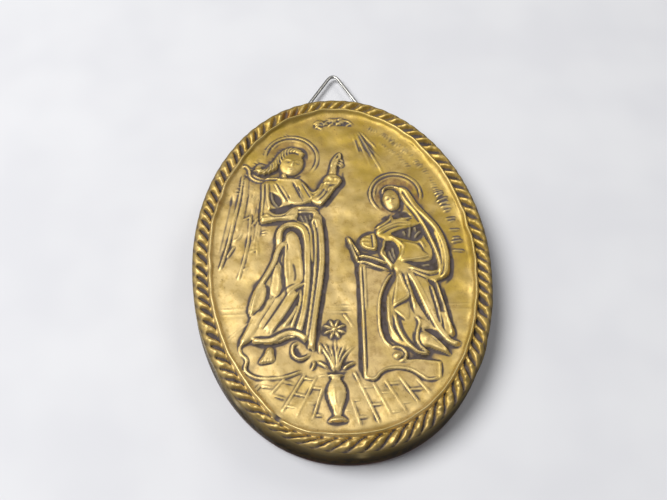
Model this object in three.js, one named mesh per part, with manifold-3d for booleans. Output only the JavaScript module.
// An oval wall plaque: a pressed brass sheet with an Annunciation in relief, wrapped over a wooden board,
// with a triangular wire hanger at the top. Millimetres, drawn flat with x to the right, y up and z out of
// the face, then stood up so that +Z is up, the face looks along -Y and the back lies in the plane Y = 0.

import * as THREE from 'three';
import { mergeVertices } from 'three/addons/utils/BufferGeometryUtils.js';
import Module from 'manifold-3d';

const wasm = await Module();
wasm.setup();

// Driving dimensions
const lineHalfWidth = 42;
const lineHalfHeight = 60.2;
const topPower = 2;
const bottomPower = 2.11;
const borderWidth = 5.5;
const fieldHeight = 10.2;
const lineHeight = 11.9;
const sheetThickness = 0.7;
const fittingGap = 0.3;
const boardThickness = 8.2;
const footHeight = 1.5;
const boardColumns = 60;

const strandCount = 82;
const ropeMiddle = 3.15;
const ropeReach = 2.2;
const ropeRun = 1.9;
const ropeBed = 9.9;
const ropeRise = 1.2;
const strandRise = 1;

const reliefDepth = 1.3;
const bodyRise = 0.75;
const sink = 0.5;
const foldStep = 4.7;
const cleaning = 0.03;

const wireRadius = 0.6;
const ringSide = 28;
const ringCorner = 2.6;
const ringLean = -1.8;
const ringMiddle = [0.6, 62.3];
const wireHeight = 1.6;
const pocketDepth = 3.2;
const pocketHalfWidth = 16;
const pocketBottom = 50.5;
const strapThickness = 0.4;
const strapWidth = 9;
const strapLip = 2.4;
const nailSpread = 5.4;
const nailUp = 55.5;
const nailHeadRadius = 1.1;
const nailShankRadius = 0.45;
const nailLength = 5.5;

// Materials
const brass = new THREE.MeshStandardMaterial({ color: 0xb0924a, roughness: 0.38, metalness: 0.9 });
const stainedWood = new THREE.MeshStandardMaterial({ color: 0x4a2f1e, roughness: 0.7, metalness: 0 });
const steel = new THREE.MeshStandardMaterial({ color: 0xc9c7c2, roughness: 0.25, metalness: 1 });

// The border line is an oval whose lower half is a little squarer. Its points are spaced evenly along its
// length, counter-clockwise from the right, and each carries the direction that points out of the oval.
function ovalPoint(angle) {
  const power = Math.sin(angle) >= 0 ? topPower : bottomPower;
  const reach = (value) => Math.sign(value) * Math.abs(value) ** (2 / power);
  const slope = (value) => Math.sign(value) * Math.abs(value) ** (2 - 2 / power);
  const x = Math.cos(angle);
  const y = Math.sin(angle);
  const place = new THREE.Vector2(lineHalfWidth * reach(x), lineHalfHeight * reach(y));
  const outward = new THREE.Vector2(slope(x) / lineHalfWidth, slope(y) / lineHalfHeight);
  return { place, outward: outward.normalize() };
}

function measureOval(samples = 2000) {
  const table = [{ share: 0, angle: 0 }];
  let walked = 0;
  for (let i = 1; i <= samples; i += 1) {
    const angle = (2 * Math.PI * i) / samples;
    walked += ovalPoint(angle).place.distanceTo(ovalPoint((2 * Math.PI * (i - 1)) / samples).place);
    table.push({ share: walked, angle });
  }
  table.forEach((entry) => { entry.share /= walked; });
  return { table, length: walked };
}

const oval = measureOval();

// A point of the border: share is the part of the way round, offset the distance out from the line.
function borderPoint(share, offset) {
  const wanted = share - Math.floor(share);
  const next = oval.table.findIndex((entry) => entry.share >= wanted);
  const after = oval.table[Math.max(next, 1)];
  const before = oval.table[Math.max(next, 1) - 1];
  const part = (wanted - before.share) / (after.share - before.share);
  const { place, outward } = ovalPoint(before.angle + part * (after.angle - before.angle));
  return place.addScaledVector(outward, offset);
}

// Solids and booleans
function toManifold(geometry) {
  const bare = geometry.clone();
  bare.deleteAttribute('normal');
  bare.deleteAttribute('uv');
  const merged = mergeVertices(bare, 1e-4);
  return new wasm.Manifold(new wasm.Mesh({
    numProp: 3,
    vertProperties: new Float32Array(merged.attributes.position.array),
    triVerts: new Uint32Array(merged.index.array),
  }));
}

function toGeometry(solid) {
  const mesh = solid.getMesh();
  const geometry = new THREE.BufferGeometry();
  geometry.setAttribute('position', new THREE.BufferAttribute(mesh.vertProperties, 3));
  geometry.setIndex(new THREE.BufferAttribute(mesh.triVerts, 1));
  geometry.computeVertexNormals();
  return geometry;
}

const joinAll = (geometries) => geometries.map(toManifold).reduce((whole, next) => whole.add(next));

// A closed skin over rings of equal count: neighbours are joined by quads and the two ends are filled from
// their first points. The rings run counter-clockwise seen from where they end.
function skin(rings) {
  const count = rings[0].length;
  const index = [];
  for (let r = 0; r + 1 < rings.length; r += 1) {
    for (let i = 0; i < count; i += 1) {
      const a = r * count + i;
      const b = r * count + ((i + 1) % count);
      index.push(a, b, b + count, a, b + count, a + count);
    }
  }
  const last = (rings.length - 1) * count;
  for (let i = 1; i + 1 < count; i += 1) {
    index.push(0, i + 1, i, last, last + i, last + i + 1);
  }
  const geometry = new THREE.BufferGeometry();
  const places = rings.flat().flatMap((point) => [point.x, point.y, point.z]);
  geometry.setAttribute('position', new THREE.Float32BufferAttribute(places, 3));
  geometry.setIndex(index);
  return geometry;
}

// A ring of points that follows the border
function ovalRing(columns, offset, height, slide = 0) {
  return Array.from({ length: columns }, (_, i) => {
    const { x, y } = borderPoint(i / columns + slide, offset);
    return new THREE.Vector3(x, y, height);
  });
}

// A solid whose rings follow the border, each at its own offset and height
const ovalSkin = (profile) => skin(
  profile.map(([offset, height]) => ovalRing(boardColumns, offset, height)));

// A raised fold along a smooth path. Its section is a low roof with a narrow flat crest, and it thins at
// both ends.
function crest(places, width, rise) {
  const foot = width / 2;
  const top = width * 0.2;
  const rings = places.map((place, i) => {
    const before = places[Math.max(i - 1, 0)];
    const after = places[Math.min(i + 1, places.length - 1)];
    const side = new THREE.Vector3(before.y - after.y, after.x - before.x, 0).normalize();
    const taper = i === 0 || i === places.length - 1 ? 0.35 : 1;
    const at = (across, lift) => place.clone().addScaledVector(side, across * taper).setZ(place.z + lift);
    const up = rise * reliefDepth * taper;
    return [at(-foot, -sink), at(foot, -sink), at(top, up), at(-top, up)];
  });
  return skin(rings);
}

function fold(width, rise, ...through) {
  const controls = through.map(([x, y]) => new THREE.Vector3(x, y, fieldHeight));
  const curve = new THREE.CatmullRomCurve3(controls, false, 'centripetal');
  const steps = Math.max(2, Math.round(curve.getLength() / foldStep));
  return crest(curve.getSpacedPoints(steps), width, rise);
}

// A flat-topped mass inside a smooth closed outline, with a sloping edge
function pad(rise, slope, ...through) {
  const outline = new THREE.CatmullRomCurve3(
    through.map(([x, y]) => new THREE.Vector3(x, y, 0)), true, 'centripetal');
  const count = Math.max(through.length + 1, Math.round(outline.getLength() / foldStep));
  const places = outline.getSpacedPoints(count).slice(0, -1);
  const shape = new THREE.Shape(places.map(({ x, y }) => new THREE.Vector2(x, y)));
  const geometry = new THREE.ExtrudeGeometry(shape, {
    depth: rise * reliefDepth + sink - slope,
    bevelThickness: slope,
    bevelSize: slope,
    bevelOffset: -slope,
    bevelSegments: 1,
  });
  return geometry.translate(0, 0, fieldHeight - sink);
}

// The part of an ellipsoid that stands out of the field
function boss([x, y], [halfWidth, halfHeight, rise], turn = 0) {
  const ball = new THREE.SphereGeometry(1, 10, 6);
  ball.rotateX(Math.PI / 2);
  ball.scale(halfWidth, halfHeight, rise * reliefDepth);
  ball.rotateZ(THREE.MathUtils.degToRad(turn));
  return ball.translate(x, y, fieldHeight);
}

// A thin raised ring, closed or broken between two angles in degrees
function halo([x, y], radius, width, rise, from, to) {
  const steps = Math.round((to - from) / 15);
  const places = Array.from({ length: steps + 1 }, (_, i) => {
    const angle = THREE.MathUtils.degToRad(from + ((to - from) * i) / steps);
    return new THREE.Vector3(x + radius * Math.cos(angle), y + radius * Math.sin(angle), fieldHeight);
  });
  return crest(places, width, rise);
}

// Folds spaced evenly between two lines, each of which runs from its first to its last point
function foldRow(count, width, rise, first, last) {
  return Array.from({ length: count }, (_, i) => {
    const part = i / (count - 1);
    const path = first.map((place, k) => place.map((v, axis) => v + (last[k][axis] - v) * part));
    return fold(width, rise, ...path);
  });
}

// The body of the cover: wall, shoulder, twisted-rope border and the thin line inside it. Two columns make a
// strand, its crest and the furrow beside it, and across the rope's rounded back they slide round as a helix
// does.
function coverBody() {
  const columns = 2 * strandCount;
  const ring = (offset, height) => ovalRing(columns, offset, height);
  const ropeRings = [1.1, 0, -1.1].map((turn) => {
    const offset = ropeMiddle + ropeReach * Math.sin(turn);
    const round = ovalRing(columns, offset, 0, -(ropeRun * turn) / oval.length);
    const back = ropeBed + ropeRise * Math.cos(turn);
    const rise = strandRise * Math.cos(turn / 1.6);
    return round.map(({ x, y }, i) => new THREE.Vector3(x, y, back + (i % 2 ? 0 : rise)));
  });
  return skin([
    ring(borderWidth, footHeight + fittingGap),
    ring(borderWidth + 0.15, 8),
    ring(borderWidth - 0.15, 9.5),
    ...ropeRings,
    ring(0.35, lineHeight),
    ring(-0.35, lineHeight),
    ring(-1, fieldHeight),
  ]);
}

function angel() {
  return [
    halo([-15.3, 40], 8.8, 1.1, 0.6, -52, 190),
    boss([-15.4, 37.2], [4, 5.1, 1.7], -14),
    fold(2.2, 1.5, [-10.9, 38.5], [-11.2, 41.8], [-14, 43.5], [-17.2, 42.6], [-19.8, 39], [-21.4, 35.4],
      [-24.4, 33.9], [-26.6, 35.2]),
    boss([-17.4, 31.8], [2, 2.6, 1.1]),
    pad(bodyRise, 0.4, [-24.5, 30], [-12.2, 30.1], [-9.4, 26], [-8.7, 20], [-6.8, 17.2], [-13.8, 16.8],
      [-25.4, 14.2], [-25.2, 22]),
    ...foldRow(4, 1.7, 1.35, [[-20.2, 29.2], [-18.6, 24.8], [-17.2, 20.8]],
      [[-12.2, 29.2], [-10.8, 24.8], [-9.4, 20.8]]),
    fold(1.5, 1.5, [-23.4, 29], [-23.7, 24], [-23.4, 18.6]),
    fold(1.2, 1.3, [-21.8, 25.4], [-21.6, 21.8], [-19.7, 18.7]),
    pad(1.3, 0.5, [-25.7, 13.5], [-24.4, 17.4], [-21.4, 16.4], [-18.2, 16.4], [-14.6, 19], [-13.9, 15]),
    fold(2, 1.6, [-14, 17.8], [-10.3, 18.2], [-6.6, 17.7]),
    pad(1.2, 0.5, [-12, 29.9], [-8.6, 25.2], [-5.4, 28.2], [-4.6, 31], [-2, 32.2], [0.9, 31.1], [0.9, 28.6],
      [-2.4, 23.6], [-6.6, 19.3], [-9.4, 21.6]),
    fold(1.3, 1.7, [-6.6, 20], [-3.6, 23.8], [-1.2, 28], [-2, 31]),
    pad(1, 0.4, [-2.5, 31.6], [-2.3, 35.6], [-0.9, 39.4], [1.3, 41.7], [1.9, 39.8], [2, 36.6], [0.6, 34],
      [-0.2, 31.6]),
    pad(bodyRise, 0.4, [-13.6, 16.6], [-6.7, 16.6], [-5.2, 10], [-5.4, 0], [-6.8, -12], [-9.1, -24],
      [-11.2, -33], [-12.4, -29.6], [-16, -27.4], [-21.5, -29.4], [-28, -29], [-32, -31], [-29.4, -22],
      [-28.3, -15], [-24.8, -8.6], [-21.6, 0], [-19.9, 8], [-17.5, 12.4]),
    fold(1.8, 1.9, [-8.2, 15.6], [-6.7, 10], [-6.1, 1], [-7.2, -9], [-9.4, -20], [-11.5, -33.4]),
    fold(1.4, 1.5, [-9.6, 14], [-8.6, 6], [-8.7, -3], [-10.3, -11], [-12.2, -20], [-14.2, -27]),
    fold(1.8, 1.7, [-19.6, 4], [-19.4, 9.4], [-15.6, 12.2], [-11.9, 9.4], [-11.2, 2], [-12.6, -10.6]),
    boss([-16, 0], [3.1, 10, 1.5], -4),
    fold(1.1, 1.4, [-13.6, -12.4], [-14.9, -18], [-17, -24.6]),
    fold(2.3, 1.7, [-13.2, -10.8], [-16, -13.6], [-18.6, -19.6], [-24, -27.4]),
    fold(1.5, 1.6, [-17.6, 5.8], [-21, 1.6], [-22.6, -4], [-25, -9]),
    fold(2, 1.8, [-24.8, -9.8], [-27, -13.6], [-28.5, -18.4], [-28.8, -22.6]),
    fold(1.6, 1.4, [-18.9, 0], [-19.6, -5], [-19.4, -10], [-21.6, -14.8]),
    fold(2.4, 1.2, [-23.6, -15.6], [-26.6, -21.4], [-32.4, -29.4]),
    fold(2.2, 1.7, [-28.8, -29], [-24.4, -30], [-20.6, -29.4], [-17.2, -27.8], [-14, -28], [-12.1, -30]),
    pad(1.3, 0.5, [-23.6, -31.6], [-25.4, -34], [-26.6, -37], [-24, -37.4], [-22.2, -36.2], [-22.4, -32.6]),
    fold(1.5, 1.3, [-16.8, -31], [-16.6, -34], [-14.8, -35.9], [-12.6, -34.8]),
    fold(0.9, 0.7, [-29, -29.6], [-32.6, -31.8], [-30.6, -35.4], [-30.8, -39.4], [-26.6, -41.6],
      [-19.6, -41.8], [-14.4, -39.6]),
  ];
}

function wings() {
  return [
    fold(1.2, 1.1, [-32, 35.8], [-30.2, 36.4], [-29.2, 32.8], [-27, 30.4], [-24.8, 30]),
    fold(1.4, 1, [-31.5, 33], [-32.5, 24], [-34.6, 13.4], [-38.5, -4]),
    fold(1.1, 0.9, [-29, 17.4], [-29.7, 8], [-31, 0], [-32.9, -7.6]),
  ];
}

function kneelingFigure() {
  return [
    halo([18.8, 24.2], 8.6, 1.2, 0.7, -28, 232),
    boss([17.3, 21.6], [3.1, 4.6, 1.7], 6),
    fold(1.8, 1.4, [14.8, 24.8], [16.4, 26.6], [19.4, 26.6], [20.4, 24]),
    pad(bodyRise, 0.4, [19.4, 27.2], [22.6, 25.8], [25, 19.6], [29.6, 13], [33.2, 5], [33.9, -3],
      [32.4, -8.2], [29.3, -9.8], [30.6, -20], [32.4, -29.4], [26.4, -31], [22.6, -33.8], [18, -33],
      [13.6, -30], [12.5, -24], [13.4, -14], [16.4, -6.4], [15.2, -3], [12.7, 0.6], [13.6, 6.2],
      [11.6, 7.4], [11.4, 10.2], [16, 14.4], [20.6, 17.6]),
    fold(2.6, 1.8, [21.4, 26], [23.2, 21.6], [26.2, 16.4], [30.2, 11], [32.6, 5], [33.2, -3], [31.6, -8.4]),
    fold(1.6, 1.5, [20.4, 23.6], [22.4, 18.6], [25.4, 14.8], [27.6, 9], [29.6, 2], [30.7, -4], [30.4, -8]),
    fold(2.3, 1.7, [11.8, 7.6], [15.4, 9.4], [19, 11.4], [22.8, 12.1]),
    fold(1, 1.1, [11.3, 10.6], [13.8, 12.4], [16, 13.4], [16.9, 15.6]),
    fold(1, 1.1, [19, 14.1], [21.6, 14], [24, 14.6]),
    pad(1.5, 0.5, [5.8, 5], [7.4, 7.3], [10.2, 8.6], [11.2, 6.2], [11.3, 2.6], [9.8, 2.1], [7.4, 2.9]),
    fold(1.5, 1.4, [15, 7.8], [17.6, 6], [19.2, 3], [18.4, -1.6]),
    fold(1.3, 1.3, [22.9, 10.4], [21.9, 6.8]),
    fold(1.3, 1.3, [25.4, 9], [23.8, 6.6]),
    pad(1.5, 0.5, [19.8, 5.2], [23, 4], [25.6, 1.8], [28.2, -0.4], [23.4, -2], [18.3, -2.2], [19.6, 1.6]),
    fold(1.5, 1.5, [20.4, -4.4], [24, -5.8], [27.6, -6.8], [30.2, -6.4]),
    fold(1.2, 1.4, [21.4, -6], [25, -7.8], [28.6, -9.4]),
    pad(1.4, 0.4, [16.9, -5.6], [18.4, -9.6], [19.5, -15.6], [15, -18.4], [16.2, -13.4]),
    pad(1.2, 0.4, [14.9, -19.9], [18.9, -17.9], [18.8, -23.5]),
    fold(2.1, 1.7, [20.3, -6], [22.6, -12.6], [25, -19.6], [27.4, -26], [31.4, -31.4]),
    fold(1.1, 1.3, [19.3, -7], [20.4, -13], [22, -19.6], [22.2, -25], [21, -29.6], [25.4, -34.3]),
    fold(1.1, 1.3, [27.3, -11], [28.6, -18.6], [28.9, -27]),
    fold(1.3, 1.5, [28.8, -9.8], [30.4, -19.4], [32.2, -29.8]),
    fold(1.1, 1.3, [13.4, -14.6], [12.8, -20.6], [13.2, -26], [15.4, -31]),
    fold(1.1, 1.2, [15.2, -20.4], [15.4, -26], [18, -32.4], [25.4, -35.4]),
    fold(2, 1.5, [22.6, -29], [24.6, -31.4], [27.4, -33.4], [30.2, -34.9]),
  ];
}

function lectern() {
  return [
    pad(bodyRise, 0.3, [4.4, -2.4], [9.6, -3.8], [14.8, -6], [12.4, -11], [10.7, -17], [10.3, -24],
      [11.4, -30], [13.6, -33], [16.6, -34], [17.6, -36.9], [22, -37.2], [27.3, -38], [27, -43],
      [22.2, -42.9], [18.6, -40.5], [14.6, -39.6], [11, -40], [9, -41.5], [7.8, -42.7], [4.3, -42.5]),
    fold(1, 1.2, [5.5, -2.8], [5.1, -22], [4.5, -42.3]),
    fold(1, 1.2, [14.9, -6.6], [12, -12], [10.6, -18], [10.3, -25], [11.9, -31], [14.6, -32.8],
      [17.2, -34.4], [16, -37]),
    fold(1, 1.2, [4.3, -42.6], [7.8, -42.8], [11, -40], [14.6, -39.5], [18.6, -40.4], [22.2, -42.9]),
    boss([14.7, -35.4], [1.1, 1.1, 1.2]),
    fold(1.6, 1.5, [2, 7], [3.2, 3], [4.8, -1.6]),
    fold(1.2, 1.6, [4.8, 0.4], [9.6, -0.9], [14.8, -3.4]),
    fold(1.4, 1.6, [4.6, -2.1], [10, -3.6], [15, -5.7]),
  ];
}

// A turned vase shown half sunk in the field, its leaves, and the flower on its stem
function vaseAndFlower() {
  const vaseMiddle = -4.1;
  const turned = [[0, -56.1], [2.5, -56], [2.4, -55.2], [1.1, -54.4], [1.2, -52.6], [2.7, -48.4],
    [2.6, -45.4], [1.4, -43], [1.2, -42.2], [2, -41.2], [0, -41]];
  const body = new THREE.LatheGeometry(turned.map(([radius, up]) => new THREE.Vector2(radius, up)), 12);
  body.scale(1, 1, 0.6 * reliefDepth).translate(vaseMiddle, 0, fieldHeight);
  const flower = [-3.8, -26];
  const petals = Array.from({ length: 8 }, (_, i) => {
    const angle = (Math.PI * 2 * (i + 0.5)) / 8;
    const heading = [Math.cos(angle), Math.sin(angle)];
    const reach = (distance) => flower.map((v, axis) => v + distance * heading[axis]);
    return fold(1, 0.9, reach(1.3), reach(3.4));
  });
  const leafTips = [[-8, -29.8], [-5.6, -30.4], [-1, -31], [2, -32]];
  const leaves = leafTips.map(([x, y]) => fold(0.9, 0.9, [vaseMiddle + (x - vaseMiddle) * 0.15, -39.6],
    [vaseMiddle + (x - vaseMiddle) * 0.45, -35.4], [x, y]));
  return [
    body, ...petals, boss(flower, [0.9, 0.9, 1]), ...leaves,
    fold(0.7, 0.7, [-3.8, -29.6], [-3.8, -39.6]),
    fold(1, 0.8, [-9.2, -37], [-7.2, -38.4]),
    fold(1, 0.8, [1.7, -37.6], [-1.4, -39.2]),
  ];
}

// The small cloud with a dove at the top and the rays that fall from it
function cloudAndRays() {
  const rayTops = [5, 5.6, 6.6];
  const rayFeet = [[8, 41.6], [11.2, 35.8], [15.2, 33.4]];
  return [
    boss([-2.6, 54], [4, 1.5, 0.9], 6),
    boss([3, 55], [3.4, 1.5, 0.9], -12),
    ...rayFeet.map((foot, i) => fold(0.8, 0.6, [rayTops[i], 52.4], foot)),
  ];
}

function bar(low, high) {
  const size = high.map((v, axis) => v - low[axis]);
  const middle = high.map((v, axis) => (v + low[axis]) / 2);
  return new THREE.BoxGeometry(...size).translate(...middle);
}

function rod(radius, [x, y], from, to) {
  const geometry = new THREE.CylinderGeometry(radius, radius, to - from, 8);
  return geometry.rotateX(Math.PI / 2).translate(x, y, (from + to) / 2);
}

// The shallow pocket behind the top edge that lets the hanger lie flush with the back
const pocket = (margin) => bar(
  [ringMiddle[0] - pocketHalfWidth - margin, pocketBottom, -1],
  [ringMiddle[0] + pocketHalfWidth + margin, lineHalfHeight + 2 * borderWidth, pocketDepth]);

function embossedCover() {
  const relief = [angel, wings, kneelingFigure, lectern, vaseAndFlower, cloudAndRays].flatMap((draw) => draw());
  const room = ovalSkin([
    [borderWidth - sheetThickness, -1],
    [borderWidth - sheetThickness, boardThickness + fittingGap],
  ]);
  const whole = joinAll([coverBody(), ...relief]).subtract(joinAll([room, pocket(0)]));
  return toGeometry(whole.simplify(cleaning));
}

function nailPlaces() {
  return [-nailSpread / 2, nailSpread / 2].map((side) => [ringMiddle[0] + side, nailUp]);
}

function backingBoard() {
  const inside = borderWidth - sheetThickness - fittingGap;
  const board = ovalSkin([
    [borderWidth - 0.2, 0],
    [borderWidth - 0.1, footHeight],
    [inside, footHeight],
    [inside, boardThickness],
  ]);
  const holes = nailPlaces().map((place) => rod(nailShankRadius + fittingGap, place, 0, nailLength + 2.4));
  return toGeometry(toManifold(board).subtract(joinAll([pocket(fittingGap), ...holes])));
}

// The wire triangle: straight sides joined by round corners, closed at the middle of its base
function hangerRing() {
  const corners = [90, 210, 330].map((degrees) => {
    const angle = THREE.MathUtils.degToRad(degrees);
    const reach = ringSide / Math.sqrt(3);
    return new THREE.Vector2(reach * Math.cos(angle), reach * Math.sin(angle) + reach / 2);
  });
  const cut = ringCorner / Math.tan(Math.PI / 6);
  const path = new THREE.CurvePath();
  const lift = ({ x, y }) => new THREE.Vector3(x, y, 0);
  corners.forEach((corner, i) => {
    const before = corners[(i + 2) % 3];
    const after = corners[(i + 1) % 3];
    const arrive = corner.clone().addScaledVector(before.clone().sub(corner).normalize(), cut);
    const leave = corner.clone().addScaledVector(after.clone().sub(corner).normalize(), cut);
    const nextArrive = after.clone().addScaledVector(corner.clone().sub(after).normalize(), cut);
    path.add(new THREE.QuadraticBezierCurve3(lift(arrive), lift(corner), lift(leave)));
    path.add(new THREE.LineCurve3(lift(leave), lift(nextArrive)));
  });
  const steps = 27;
  const sides = 6;
  const rings = Array.from({ length: steps }, (_, i) => {
    const place = path.getPointAt(i / steps);
    const along = path.getTangentAt(i / steps);
    const side = new THREE.Vector3(along.y, -along.x, 0);
    return Array.from({ length: sides }, (_unused, k) => {
      const angle = (2 * Math.PI * k) / sides;
      const around = new THREE.Vector3(0, 0, Math.sin(angle)).addScaledVector(side, Math.cos(angle));
      return place.clone().addScaledVector(around, wireRadius);
    });
  });
  const index = [];
  for (let r = 0; r < steps; r += 1) {
    for (let k = 0; k < sides; k += 1) {
      const a = r * sides + k;
      const b = r * sides + ((k + 1) % sides);
      const c = ((r + 1) % steps) * sides + ((k + 1) % sides);
      const d = ((r + 1) % steps) * sides + k;
      index.push(a, c, b, a, d, c);
    }
  }
  const geometry = new THREE.BufferGeometry();
  const places = rings.flat().flatMap((point) => [point.x, point.y, point.z]);
  geometry.setAttribute('position', new THREE.Float32BufferAttribute(places, 3));
  geometry.setIndex(index);
  geometry.rotateZ(THREE.MathUtils.degToRad(ringLean));
  return geometry.translate(ringMiddle[0], ringMiddle[1], wireHeight);
}

// A strip hooked round the ring's base, with two nail holes in its flat leaf
function hangerStrap() {
  const inner = wireRadius + fittingGap;
  const outer = inner + strapThickness;
  const [, base] = ringMiddle;
  const shape = new THREE.Shape();
  shape.moveTo(pocketBottom + 1, -outer);
  shape.lineTo(base, -outer);
  shape.absarc(base, 0, outer, -Math.PI / 2, Math.PI / 2, false);
  shape.lineTo(base - strapLip, outer);
  shape.lineTo(base - strapLip, inner);
  shape.lineTo(base, inner);
  shape.absarc(base, 0, inner, Math.PI / 2, -Math.PI / 2, true);
  shape.lineTo(pocketBottom + 1, -inner);
  const settings = { depth: strapWidth, bevelEnabled: false, curveSegments: 6 };
  const strip = new THREE.ExtrudeGeometry(shape, settings);
  strip.applyMatrix4(new THREE.Matrix4().makeBasis(
    new THREE.Vector3(0, 1, 0), new THREE.Vector3(0, 0, -1), new THREE.Vector3(-1, 0, 0)));
  strip.translate(ringMiddle[0] + strapWidth / 2, 0, wireHeight);
  const holes = nailPlaces().map((place) => rod(nailShankRadius + fittingGap, place, 0, pocketDepth));
  return toGeometry(toManifold(strip).subtract(joinAll(holes)));
}

function strapNail() {
  const seat = wireHeight + wireRadius;
  const profile = [
    [0, seat - 0.7], [nailHeadRadius * 0.7, seat - 0.6], [nailHeadRadius, seat - 0.25], [nailHeadRadius, seat],
    [nailShankRadius, seat], [nailShankRadius, seat + nailLength - 0.8], [0, seat + nailLength],
  ];
  const nail = new THREE.LatheGeometry(profile.map(([radius, up]) => new THREE.Vector2(radius, up)), 8);
  return nail.rotateX(Math.PI / 2);
}

// The assembled plaque
const drawn = new THREE.Group();
drawn.rotation.x = Math.PI / 2;

function place(name, geometry, material, [x, y] = [0, 0]) {
  const mesh = new THREE.Mesh(geometry, material);
  mesh.name = name;
  mesh.position.set(x, y, 0);
  drawn.add(mesh);
}

place('embossed_cover', embossedCover(), brass);
place('backing_board', backingBoard(), stainedWood);
place('hanger_ring', hangerRing(), steel);
place('hanger_strap', hangerStrap(), steel);
['strap_nail_left', 'strap_nail_right'].forEach((name, i) => {
  place(name, strapNail(), steel, nailPlaces()[i]);
});

const plaque = new THREE.Group();
plaque.add(drawn);

export default plaque;
